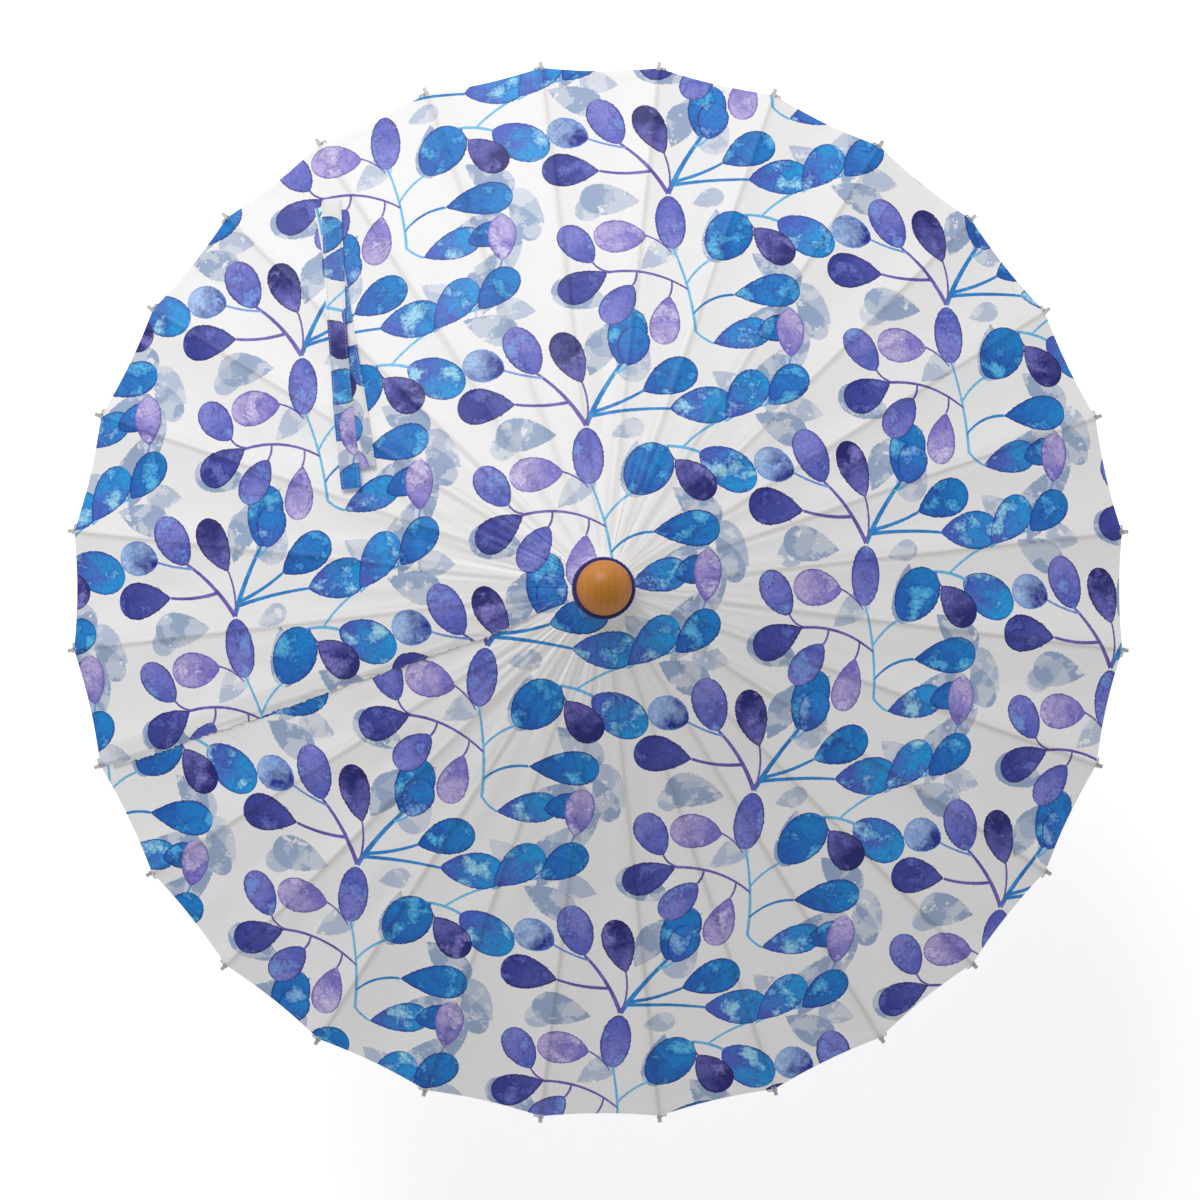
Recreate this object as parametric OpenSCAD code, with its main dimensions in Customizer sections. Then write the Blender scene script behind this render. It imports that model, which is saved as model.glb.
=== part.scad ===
// Folding oil paper umbrella: shaft, crown, runner, 28 ribs, 28 stretchers and a cloth canopy.
// Millimetres. The shaft stands on +Z with its lower end at the origin; the canopy is open.

/* [Frame] */
// number of ribs and of stretchers
rib_count = 28; // [12:1:28]
// length of one rib from its hinge to its tip
rib_l = 419; // [300:1:520]
// how far an open rib droops below level, in degrees
droop = 20; // [12:0.5:30]
// distance from a rib's crown hinge to its middle pivot, and the length of a stretcher
link_l = 195; // [120:1:240]
// width of a rib across its side faces
rib_w = 3.0; // [2.6:0.1:3.6]
// height of the rib bar
rib_h = 3.0; // [2.4:0.1:4]
// gap from the hinge line up to the lower face of the rib bar
rib_lift = 0.9; // [0.7:0.1:1.5]
// width of the stretcher bar
stretcher_w = 2.6; // [2:0.1:3]
// height of the stretcher bar
stretcher_h = 2.8; // [2.2:0.1:3]

/* [Hinges] */
// radius of the wire rings that carry the hinges
ring_r = 18.5; // [17:0.1:24]
// radius of the hinge wire and of the middle pins
wire_r = 0.6; // [0.4:0.05:0.8]
// radial running clearance of a hinge hole
hinge_gap = 0.1; // [0.05:0.01:0.1]
// width of the radial slots in the crown and in the runner
slot_w = 2.4; // [2:0.1:3]
// radius of the floor of the radial slots
slot_floor_r = 14; // [12:0.1:16]
// thickness of the rib and stretcher tongues that sit in those slots
tongue_w = 2.0; // [1.6:0.1:2.4]
// thickness of the stretcher tang at the middle pivot
tang_w = 1.1; // [0.8:0.1:1.4]
// width of the slot in the rib at the middle pivot
rib_slot_w = 1.6; // [1.3:0.1:2]

/* [Shaft and handle] */
// height of the crown hinges above the lower end of the handle
hinge_z = 535; // [450:1:700]
// radius of the straight shaft
shaft_r = 6; // [5:0.1:7]
// radius of the straight grip
grip_r = 8.5; // [8:0.1:11]
// length of the straight grip
grip_l = 72; // [50:1:90]
// radial running clearance of the runner on the shaft
runner_gap = 0.09; // [0.05:0.01:0.1]

/* [Crown and runner] */
// outer radius of the slotted rings
head_r = 21; // [20:0.1:26]
// radius of the dome at its base
dome_r = 20; // [16:0.1:24]
// height of the dome cap
dome_h = 17; // [10:0.5:20]
// radius of the neck that holds the gathered cloth
neck_r = 15; // [12:0.1:17]
// radius of the runner sleeve
sleeve_r = 11; // [9:0.1:14]
// length of the runner sleeve below its slotted ring
sleeve_l = 28; // [16:1:40]

/* [Canopy] */
// radius of the cloth edge over a rib
cloth_r = 405; // [300:1:500]
// thickness of the cloth shell
cloth_t = 0.4; // [0.3:0.05:1]
// gap between the rib tops and the cloth
cloth_gap = 0.45; // [0.3:0.05:1]
// how far the cloth edge sags midway between two ribs
cloth_sag = 2; // [0:0.5:6]
// width of the closing strap
strap_w = 15; // [10:1:25]

/* [Hidden] */
$fn = 48;
step_a = 360 / rib_count;
first_a = step_a / 2;
eye_r = 1.7;
rib_top = rib_lift + rib_h;
tongue_l = 9;
tang_l = 17;
pin_gap = 0.02;
ring_low = 6;
ring_high = 6.5;
slot_top = 4.7;
runner_ring_high = 5;
neck_h = 3.5;
flange_h = 2;
grip_top = grip_l + 2;
runner_z = hinge_z - 2 * link_l * sin(droop);
dome_z = hinge_z + ring_high + neck_h + flange_h;
dome_sphere_r = (dome_r * dome_r + dome_h * dome_h) / (2 * dome_h);
bore_r = shaft_r + runner_gap;
strap_from = [-210, 300];
strap_to = [-182, 84];
strap_steps = 12;

// the names of all sub-parts
two = function(i) i < 10 ? str("0", i) : str(i);
RIBS = [for (i = [1:rib_count]) str("rib_", two(i))];
STRETCHERS = [for (i = [1:rib_count]) str("stretcher_", two(i))];

// height of the line over the rib tops at a distance r from the axis
function rib_top_z(r) = hinge_z + rib_top / cos(droop) - (r - ring_r) * tan(droop);

// rings of the cloth: radius and height of the underside over a rib
shoulder_z = hinge_z + ring_high + 0.4;
cloth_rings = concat(
    [[neck_r + 1.2, shoulder_z], [head_r + 0.7, shoulder_z]],
    [for (r = [head_r + 7, 60, 110, 160, 210, 260, 310, 360, cloth_r]) [r, rib_top_z(r) + cloth_gap]]);
ring_n = len(cloth_rings);
edge_n = 2 * rib_count;

function sag(r) = cloth_sag * max(0, (r - head_r - 7) / (cloth_r - head_r - 7));

// a point of the cloth: ring i, place j around it, over a rib when j is even
function cloth_point(i, j, up) =
    let (r = cloth_rings[i][0], mid = j % 2, a = first_a + j * step_a / 2,
         s = mid * sag(r), q = mid == 1 ? (r - s) * cos(step_a / 2) : r)
    [q * cos(a), q * sin(a), cloth_rings[i][1] + up - s];

module tube_slots(low, high) {
    for (i = [0:rib_count - 1])
        rotate([0, 0, first_a + i * step_a])
            translate([slot_floor_r, -slot_w / 2, low])
                cube([head_r - slot_floor_r + 5, slot_w, high - low]);
}

module wire_ring() {
    rotate_extrude($fn = 96) translate([ring_r, 0]) circle(r = wire_r, $fn = 24);
}

// annular groove, open to the outside, that the wire lies in
module wire_groove() {
    difference() {
        translate([0, 0, -wire_r - 0.05]) cylinder(r = head_r + 5, h = 2 * wire_r + 0.1, $fn = 96);
        translate([0, 0, -wire_r - 1]) cylinder(r = ring_r - wire_r - 0.05, h = 2 * wire_r + 2, $fn = 96);
    }
}

// turned wooden rod with its handle; the rod ends inside the crown
module shaft() {
    color([0.72, 0.52, 0.30]) {
        rotate_extrude($fn = 96) polygon([
            [0, 0], [grip_r - 2, 0], [grip_r, 2], [grip_r, grip_top],
            [grip_r - 1.5, grip_top + 1.5], [grip_r - 1.5, grip_top + 4],
            [grip_r, grip_top + 5.5], [grip_r, grip_top + 9], [shaft_r, grip_top + 14],
            [shaft_r, hinge_z + 5], [0, hinge_z + 5]]);
    }
}

// slotted head with its dome, and the wire that carries the ribs
module crown() {
    color([0.78, 0.56, 0.33]) {
        difference() {
            union() {
                translate([0, 0, hinge_z - ring_low])
                    cylinder(r = head_r, h = ring_low + ring_high, $fn = 96);
                translate([0, 0, hinge_z - ring_low - 6]) cylinder(r = sleeve_r, h = 8, $fn = 96);
                translate([0, 0, hinge_z]) cylinder(r = neck_r, h = ring_high + neck_h + 1, $fn = 96);
                translate([0, 0, hinge_z + ring_high + neck_h])
                    cylinder(r = dome_r, h = flange_h, $fn = 96);
                intersection() {
                    translate([0, 0, dome_z + dome_h - dome_sphere_r]) sphere(r = dome_sphere_r, $fn = 96);
                    translate([0, 0, dome_z - 0.5]) cylinder(r = dome_r + 5, h = dome_h + 5, $fn = 96);
                }
            }
            translate([0, 0, hinge_z - ring_low - 7])
                cylinder(r = shaft_r + 0.03, h = ring_low + 7 + 5.03, $fn = 96);
            translate([0, 0, hinge_z]) tube_slots(-ring_low - 1, slot_top);
            translate([0, 0, hinge_z]) wire_groove();
        }
    }
    color([0.6, 0.6, 0.6]) translate([0, 0, hinge_z]) wire_ring();
}

// sliding slotted ring with its sleeve, and the wire that carries the stretchers
module runner() {
    color([0.78, 0.56, 0.33]) {
        difference() {
            union() {
                translate([0, 0, runner_z - ring_low])
                    cylinder(r = head_r, h = ring_low + runner_ring_high, $fn = 96);
                translate([0, 0, runner_z]) cylinder(r = sleeve_r, h = runner_ring_high + 4, $fn = 96);
                translate([0, 0, runner_z - ring_low - sleeve_l])
                    cylinder(r = sleeve_r, h = sleeve_l + 1, $fn = 96);
                translate([0, 0, runner_z - ring_low - sleeve_l])
                    cylinder(r = sleeve_r + 1.5, h = 4, $fn = 96);
            }
            translate([0, 0, runner_z - ring_low - sleeve_l - 1])
                cylinder(r = bore_r, h = sleeve_l + ring_low + runner_ring_high + 10, $fn = 96);
            translate([0, 0, runner_z]) tube_slots(-ring_low + 2.6, runner_ring_high + 1);
            translate([0, 0, runner_z]) wire_groove();
        }
    }
    color([0.6, 0.6, 0.6]) translate([0, 0, runner_z]) wire_ring();
}

// one rib lying along +X with its hinge at the origin, and its middle pin
module rib_shape() {
    difference() {
        union() {
            translate([tongue_l, -rib_w / 2, rib_lift]) cube([rib_l - tongue_l, rib_w, rib_h]);
            translate([0, -tongue_w / 2, rib_lift - 0.6]) cube([tongue_l + 1, tongue_w, rib_h + 0.6]);
            translate([0, tongue_w / 2, 0]) rotate([90, 0, 0]) cylinder(r = eye_r, h = tongue_w, $fn = 32);
            translate([link_l, rib_w / 2, 0]) rotate([90, 0, 0]) cylinder(r = eye_r + 0.1, h = rib_w, $fn = 32);
            translate([link_l - 1.8, -rib_w / 2, 0]) cube([3.6, rib_w, rib_lift + 0.5]);
        }
        translate([0, 3, 0]) rotate([90, 0, 0]) cylinder(r = wire_r + hinge_gap, h = 6, $fn = 32);
        translate([link_l - 4, -rib_slot_w / 2, -3]) cube([15, rib_slot_w, 3 + 2.2]);
        translate([link_l, 3, 0]) rotate([90, 0, 0]) cylinder(r = wire_r + pin_gap, h = 6, $fn = 32);
        translate([rib_l - 3.5, 3, rib_lift + rib_h / 2]) rotate([90, 0, 0]) cylinder(r = 0.6, h = 6, $fn = 24);
    }
    translate([link_l, rib_w / 2, 0]) rotate([90, 0, 0]) cylinder(r = wire_r, h = rib_w, $fn = 32);
}

// one stretcher lying along +X from the middle pivot to the runner
module stretcher_shape() {
    difference() {
        union() {
            translate([tang_l, -stretcher_w / 2, -stretcher_h / 2])
                cube([link_l - tang_l - tongue_l, stretcher_w, stretcher_h]);
            translate([0, -tang_w / 2, -stretcher_h / 2]) cube([tang_l + 1, tang_w, stretcher_h]);
            translate([0, tang_w / 2, 0]) rotate([90, 0, 0])
                cylinder(r = stretcher_h / 2, h = tang_w, $fn = 32);
            translate([link_l - tongue_l - 1, -tongue_w / 2, -stretcher_h / 2])
                cube([tongue_l + 1, tongue_w, stretcher_h]);
            translate([link_l, tongue_w / 2, 0]) rotate([90, 0, 0])
                cylinder(r = stretcher_h / 2, h = tongue_w, $fn = 32);
        }
        translate([0, 3, 0]) rotate([90, 0, 0]) cylinder(r = wire_r + hinge_gap, h = 6, $fn = 32);
        translate([link_l, 3, 0]) rotate([90, 0, 0]) cylinder(r = wire_r + hinge_gap, h = 6, $fn = 32);
    }
}

module rib(i) {
    color([0.80, 0.66, 0.42])
        rotate([0, 0, first_a + i * step_a])
            translate([ring_r, 0, hinge_z]) rotate([0, droop, 0]) rib_shape();
}

module stretcher(i) {
    color([0.76, 0.60, 0.38])
        rotate([0, 0, first_a + i * step_a])
            translate([ring_r + link_l * cos(droop), 0, hinge_z - link_l * sin(droop)])
                rotate([0, 180 - droop, 0]) stretcher_shape();
}

// the cloth, a closed shell with one fold line over each rib and one midway between ribs
module cloth_shell() {
    points = [for (up = [cloth_t, 0], i = [0:ring_n - 1], j = [0:edge_n - 1]) cloth_point(i, j, up)];
    id = function(low, i, j) low * ring_n * edge_n + i * edge_n + j % edge_n;
    top = [for (i = [0:ring_n - 2], j = [0:edge_n - 1], h = [0, 1])
        h == 0 ? [id(0, i, j), id(0, i, j + 1), id(0, i + 1, j + 1)]
               : [id(0, i, j), id(0, i + 1, j + 1), id(0, i + 1, j)]];
    low = [for (i = [0:ring_n - 2], j = [0:edge_n - 1], h = [0, 1])
        h == 0 ? [id(1, i, j), id(1, i + 1, j), id(1, i + 1, j + 1)]
               : [id(1, i, j), id(1, i + 1, j + 1), id(1, i, j + 1)]];
    inner = [for (j = [0:edge_n - 1], h = [0, 1])
        h == 0 ? [id(0, 0, j + 1), id(0, 0, j), id(1, 0, j)]
               : [id(0, 0, j + 1), id(1, 0, j), id(1, 0, j + 1)]];
    outer = [for (j = [0:edge_n - 1], h = [0, 1])
        h == 0 ? [id(0, ring_n - 1, j), id(0, ring_n - 1, j + 1), id(1, ring_n - 1, j + 1)]
               : [id(0, ring_n - 1, j), id(1, ring_n - 1, j + 1), id(1, ring_n - 1, j)]];
    polyhedron(points = points, faces = concat(top, low, inner, outer));
}

// the closing strap, sewn to the cloth at one end and lying on it
module strap() {
    dir = (strap_to - strap_from) / norm(strap_to - strap_from);
    side = [-dir[1], dir[0]];
    place = function(k, s) strap_from + (strap_to - strap_from) * k / strap_steps + side * s * strap_w / 2;
    height = function(p, up) rib_top_z(norm(p)) + cloth_gap + cloth_t + 0.4 + up;
    points = [for (k = [0:strap_steps], c = [[-1, 0], [1, 0], [1, 0.8], [-1, 0.8]])
        let (p = place(k, c[0])) [p[0], p[1], height(p, c[1])]];
    sides = [for (k = [0:strap_steps - 1], c = [0:3], h = [0, 1])
        let (a = 4 * k + c, b = 4 * k + (c + 1) % 4)
        h == 0 ? [a, b + 4, b] : [a, a + 4, b + 4]];
    last = 4 * strap_steps;
    polyhedron(points = points,
        faces = concat(sides, [[0, 2, 3], [0, 1, 2], [last, last + 2, last + 1], [last, last + 3, last + 2]]));
}

module canopy() {
    color([0.92, 0.93, 0.95]) {
        cloth_shell();
        strap();
    }
}

shaft();
crown();
runner();
canopy();
for (i = [0:rib_count - 1]) rib(i);
for (i = [0:rib_count - 1]) stretcher(i);
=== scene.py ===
"""Looks of a folding oil paper umbrella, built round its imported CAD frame. Millimetres in the
functions that lay things out, metres in Blender."""
import math
import random

import bpy
import numpy as np
from mathutils import Matrix, Vector


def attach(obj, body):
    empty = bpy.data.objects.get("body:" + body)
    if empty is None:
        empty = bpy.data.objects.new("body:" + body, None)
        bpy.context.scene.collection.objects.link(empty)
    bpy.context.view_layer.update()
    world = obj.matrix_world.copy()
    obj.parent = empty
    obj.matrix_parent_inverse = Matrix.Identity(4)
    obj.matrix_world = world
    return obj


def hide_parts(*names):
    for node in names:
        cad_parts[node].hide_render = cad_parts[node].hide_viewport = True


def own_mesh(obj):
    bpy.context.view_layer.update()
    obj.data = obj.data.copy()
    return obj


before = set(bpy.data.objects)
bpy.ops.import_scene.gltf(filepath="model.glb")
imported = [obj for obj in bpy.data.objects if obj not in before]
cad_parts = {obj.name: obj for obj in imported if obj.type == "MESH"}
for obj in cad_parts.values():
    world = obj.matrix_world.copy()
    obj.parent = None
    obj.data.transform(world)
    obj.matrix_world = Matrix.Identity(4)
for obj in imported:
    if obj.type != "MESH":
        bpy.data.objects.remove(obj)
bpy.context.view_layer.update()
scene = bpy.context.scene

# ---------------------------------------------------------------- sizes, in millimetres
MM = 0.001
RIBS = 28
STEP = 2 * math.pi / RIBS  # angle from one rib to the next
FIRST = STEP / 2  # angle of rib 0
RING_R = 18.5  # radius of the wire that carries the ribs
HINGE_Z = 535.0  # height of that wire
DROOP = math.radians(20)  # how far an open rib slopes
RIB_TOP = 3.9  # top of a rib above the line from its hinge
RIB_L = 419.0
CLOTH_R = 408.0  # the cloth's edge over a rib
SEAM_RIB = 15  # the rib that the cloth's seam runs along


def rib_angle(k):
    return FIRST + k * STEP


def rib_line_z(r):
    """Height of the line over the rib tops at a distance r from the axis."""
    return HINGE_Z + RIB_TOP / math.cos(DROOP) - (r - RING_R) * math.tan(DROOP)


def rib_body(k):
    return f"rib_body_{k % RIBS + 1:02d}"


# ---------------------------------------------------------------- camera
RIM = Vector((0, -0.007, 0.392))


def look(cam, place, target, up):
    back = (Vector(place) - Vector(target)).normalized()
    right = Vector(up).cross(back).normalized()
    turn = Matrix((right, back.cross(right), back)).transposed()
    cam.matrix_world = Matrix.Translation(Vector(place)) @ turn.to_4x4()


camera = bpy.data.objects.new("camera", bpy.data.cameras.new("camera"))
scene.collection.objects.link(camera)
camera.data.sensor_width = 36
camera.data.lens = 85.1
look(camera, (-0.044, -0.033, 0.392 + 2.2), RIM, (0, 1, 0))
scene.camera = camera
scene.view_settings.view_transform = "Standard"
scene.view_settings.look = "None"


# ---------------------------------------------------------------- node helpers
def linear(rgb):
    """An sRGB colour of 0 to 255 as linear RGBA."""
    out = []
    for c in rgb:
        c /= 255
        out.append(c / 12.92 if c <= 0.04045 else ((c + 0.055) / 1.055) ** 2.4)
    return (*out, 1)


class Graph:
    """Adds nodes to a tree, joining sockets or setting values as it goes."""

    def __init__(self, tree):
        self.tree = tree

    def put(self, socket, value):
        if isinstance(value, bpy.types.NodeSocket):
            self.tree.links.new(value, socket)
        elif value is not None:
            if socket.type in ("VECTOR", "RGBA"):
                value = tuple(value)
            socket.default_value = value

    def add(self, kind, ins=(), out=0, **settings):
        n = self.tree.nodes.new(kind)
        for key, value in settings.items():
            setattr(n, key, value)
        for key, value in dict(ins).items():
            self.put(n.inputs[key], value)
        return n.outputs[out]

    def math(self, op, *ins, clamp=False):
        return self.add("ShaderNodeMath", dict(enumerate(ins)), operation=op, use_clamp=clamp)

    def vec(self, op, *ins, out=0):
        return self.add("ShaderNodeVectorMath", dict(enumerate(ins)), out, operation=op)

    def mix(self, share, a, b):
        return self.add("ShaderNodeMix", {0: share, 6: a, 7: b}, 2, data_type="RGBA")

    def ramp(self, value, low, high, to_low=0.0, to_high=1.0, smooth=True):
        ins = {0: value, 1: low, 2: high, 3: to_low, 4: to_high}
        kind = "SMOOTHSTEP" if smooth else "LINEAR"
        return self.add("ShaderNodeMapRange", ins, interpolation_type=kind)

    def noise(self, vector, scale, detail=2.0, rough=0.5):
        ins = {"Vector": vector, "Scale": scale, "Detail": detail, "Roughness": rough}
        return self.add("ShaderNodeTexNoise", ins)

    def scaled(self, vector, factor):
        """A vector or colour times a factor, which may be a socket."""
        out = self.vec("SCALE", vector)
        self.put(out.node.inputs["Scale"], factor)
        return out


def group(name, ins, outs):
    """An empty node group with those sockets, and its Graph, input sockets and output node."""
    tree = bpy.data.node_groups.new(name, "ShaderNodeTree")
    for label, kind in ins:
        tree.interface.new_socket(label, in_out="INPUT", socket_type=kind)
    for label, kind in outs:
        tree.interface.new_socket(label, in_out="OUTPUT", socket_type=kind)
    enter = tree.nodes.new("NodeGroupInput").outputs
    leave = tree.nodes.new("NodeGroupOutput").inputs
    return tree, Graph(tree), {s.name: s for s in enter if s.name}, leave


def material(name, roughness, metallic=0.0):
    m = bpy.data.materials.new(name)
    m.use_nodes = True
    g = Graph(m.node_tree)
    shader = m.node_tree.nodes["Principled BSDF"]
    shader.inputs["Roughness"].default_value = roughness
    shader.inputs["Metallic"].default_value = metallic
    return m, g, shader


# ---------------------------------------------------------------- the print's drawing
# one repeat of the print, in millimetres: its two lattice vectors
CELL_A = (213.0, -90.0)
CELL_B = (78.0, 189.0)

# paint: stem end, tip, watery patch, outline (sRGB)
PAINT = {
    "azure": ((14, 96, 188), (2, 130, 210), (92, 190, 238), (0, 38, 134)),
    "lagoon": ((72, 98, 196), (18, 152, 224), (162, 222, 246), (0, 64, 162)),
    "blue": ((44, 100, 194), (24, 130, 214), (140, 186, 236), (8, 40, 138)),
    "violet": ((92, 102, 196), (130, 132, 214), (116, 156, 226), (34, 42, 138)),
    "lilac": ((128, 120, 206), (190, 176, 228), (212, 202, 240), (98, 86, 180)),
    "indigo": ((76, 84, 174), (52, 60, 154), (102, 114, 200), (12, 12, 98)),
    "pale": ((24, 36, 144), (172, 200, 240), (142, 176, 234), (104, 150, 222)),
    "dusk": ((104, 102, 188), (24, 24, 116), (132, 126, 206), (10, 10, 86)),
}
STEM = {
    "sky": ((88, 176, 226), (120, 196, 236)),
    "sea": ((16, 104, 188), (48, 154, 216)),
    "plum": ((82, 66, 158), (128, 108, 190)),
    "mist": ((96, 140, 214), (128, 168, 226)),
}


def walk(x, y, angle, length, bend):
    """The end of a stroke and the heading there; bend is the height of its arch."""
    a = math.radians(angle)
    turn = math.atan2(4 * bend, length)
    return x + length * math.cos(a), y + length * math.sin(a), math.degrees(a - turn)


def on(stroke, t):
    """The point at the share t of a stem's length."""
    x, y, angle, length, bend = stroke[:5]
    a = math.radians(angle)
    u, v = length * t, 4 * bend * t * (1 - t)
    return x + u * math.cos(a) - v * math.sin(a), y + u * math.sin(a) + v * math.cos(a)


# stems: x, y, heading, length, arch, half width at start and at end, colour
# leaves: x, y, heading, length, width, paint, taper of the stem end
STEMS, LEAVES = [], []
STEM_WEIGHT = 1.12
LEAF_LENGTH, LEAF_WIDTH = 1.05, 1.06


def stem(x, y, angle, length, bend, w0, w1, colour):
    """Adds a stem and returns it."""
    s = (x, y, angle, length, bend, w0 * STEM_WEIGHT, w1 * STEM_WEIGHT, colour)
    STEMS.append(s)
    return s


def leaf(x, y, angle, length, width, paint, taper=0.74):
    """Adds a leaf that starts at x, y."""
    LEAVES.append((x, y, angle, length * LEAF_LENGTH, width * LEAF_WIDTH, paint, taper))


def twig(parent, t, angle, length, bend, w0, w1, colour, leaf_l, leaf_w, paint, turn=0,
         taper=0.74):
    """A side stalk that leaves parent at t and ends in a leaf."""
    x, y = on(parent, t)
    s = stem(x, y, angle, length, bend, w0, w1, colour)
    ex, ey, heading = walk(*s[:5])
    leaf(ex, ey, heading + turn, leaf_l, leaf_w, paint, taper)
    return s


# rising branch, blue
main = stem(0, 0, 58, 56, 1.5, 1.9, 1.3, "sea")
leaf(*walk(*main[:5])[:2], 74, 45, 28, "azure", 0.7)
twig(main, 0.20, 21, 42, -1.5, 1.4, 1.0, "sea", 44, 27, "azure", -4, 0.85)
twig(main, 0.14, 3, 60, 1.5, 1.4, 1.0, "sea", 47, 28, "lagoon", 8, 0.8)
twig(main, 0.84, 30, 12, -1, 0.9, 0.8, "sky", 31, 23, "blue", 22, 0.7)
# leaning branch, violet
left = stem(0, 0, 126, 56, -3, 1.6, 1.0, "plum")
leaf(*walk(*left[:5])[:2], 114, 41, 25, "violet", 0.62)
twig(left, 0.40, 176, 40, 2, 1.3, 1.0, "plum", 42, 27, "indigo", 10, 0.95)
twig(left, 0.90, 161, 30, 1, 0.9, 0.8, "mist", 31, 25, "pale", 6, 0.6)
twig(main, 0.05, 92, 32, -2, 0.8, 0.7, "plum", 43, 23, "dusk", 4, 0.8)
# the leaf under the fork, and the pale stem that hangs from it
leaf(0, -2, -91, 43, 22, "violet", 0.52)
low = stem(-1, -44, -81, 74, 3, 0.8, 1.1, "sky")
twig(low, 0.46, 44, 30, 2, 0.8, 0.9, "sky", 44, 33, "azure", 24, 0.6)
twig(low, 0.80, 26, 36, 4, 0.8, 1.1, "sea", 50, 26, "azure", 4, 1.0)
twig(low, 0.99, -38, 16, -1, 0.9, 0.9, "sky", 45, 23, "lagoon", 40, 0.9)
leaf(58, -119, 18, 30, 20, "azure", 0.7)
curve = stem(*on(low, 0.52), 164, 62, -6, 0.8, 1.1, "plum")
leaf(*walk(*curve[:5])[:2], 206, 40, 25, "indigo", 0.95)
twig(curve, 0.66, 252, 12, 1, 0.8, 0.9, "plum", 36, 23, "violet", -2, 0.7)
twig(curve, 0.22, 258, 13, 1, 0.7, 0.8, "plum", 39, 22, "lilac", 16, 0.85)
twig(curve, 0.96, 146, 16, 2, 0.8, 0.8, "plum", 36, 23, "violet", 4, 0.66)
leaf(-20, -36, 176, 38, 26, "lilac", 0.7)
stem(-2, -50, 142, 25, -2, 0.5, 0.7, "plum")
# trailing branch to the right, pale blue
trail = stem(41, -23, -2, 42, 4, 0.9, 1.2, "sky")
leaf(*walk(*trail[:5])[:2], -30, 46, 30, "lagoon", 0.62)
twig(trail, 0.42, -66, 12, -1, 0.8, 1.0, "plum", 37, 25, "dusk", 2, 0.8)
twig(trail, 0.70, 34, 42, 2, 0.8, 1.0, "sky", 46, 27, "lagoon", 24, 0.9)

extra = stem(105, 0, 22, 38, 2, 0.8, 0.9, "sky")
leaf(*walk(*extra[:5])[:2], 44, 40, 25, "azure", 0.8)
twig(extra, 0.9, 58, 46, -3, 0.7, 0.8, "mist", 36, 21, "lilac", 14, 0.7)

# faded leaves behind: x, y, heading, length, width, tone
GHOSTS = [
    (26, 98, 158, 46, 26, 0), (-40, 6, 216, 38, 20, 1), (36, -14, -96, 46, 22, 0),
    (-26, -100, 216, 52, 24, 0), (98, 40, -38, 40, 24, 1), (-96, -20, 128, 40, 22, 1),
    (118, 74, 14, 52, 24, 0), (-76, 96, 58, 42, 20, 0), (52, 126, 40, 36, 20, 1),
    (150, 26, 74, 34, 20, 1), (-134, -40, 236, 50, 22, 0), (-108, -92, 168, 30, 20, 1),
    (18, -10, 20, 26, 16, 1), (92, -88, -62, 38, 20, 0), (-62, 14, 100, 20, 14, 0),
    (-22, -6, 172, 46, 27, 0), (168, 44, 96, 40, 24, 0), (60, -52, -38, 44, 26, 0),
    (-30, -118, 250, 40, 26, 1), (128, 6, -24, 44, 25, 0), (6, 40, 66, 40, 24, 0),
]


# ---------------------------------------------------------------- the print as a shader
FLOAT, COLOUR = "NodeSocketFloat", "NodeSocketColor"
GHOST_TONES = ((150, 169, 199), (184, 195, 215))
GHOST_TAPER = 0.95
PRINT_SHIFT = (81.0, 60.0)  # brings a gap between two branches under the crown
END_CUT = 900.0  # millimetres lost per length past a stroke's end, which cuts it off there
THREAD_PITCH = 0.62  # of the cloth's weave, in millimetres


def outline_scale(width, taper):
    """What the outline's curve is multiplied by for a leaf of this width."""
    widest = taper / (taper + 0.5)
    return width / 2 / (widest ** taper * math.sqrt(1 - widest))


def held(g, u):
    """U held from 0 to 1."""
    return g.math("MINIMUM", g.math("MAXIMUM", u, 0.0), 1.0)


def past_ends(g, u):
    """How far U lies before 0 or after 1."""
    off = g.math("ABSOLUTE", g.math("SUBTRACT", u, 0.5))
    return g.math("MAXIMUM", g.math("SUBTRACT", off, 0.5), 0.0)


def leaf_outline(g, t, u, v, scale, taper, wobble):
    """Distance inside a teardrop, in millimetres. t is u held from 0 to 1 along its length."""
    bulge = g.math("MULTIPLY", g.math("POWER", t, taper),
                   g.math("SQRT", g.math("SUBTRACT", 1.0, t)))
    half = g.math("MULTIPLY", bulge, scale)
    past = past_ends(g, u)
    inside = g.math("SUBTRACT", g.math("SUBTRACT", half, g.math("ABSOLUTE", v)),
                    g.math("MULTIPLY", past, END_CUT))
    return g.math("ADD", inside, wobble)


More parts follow.
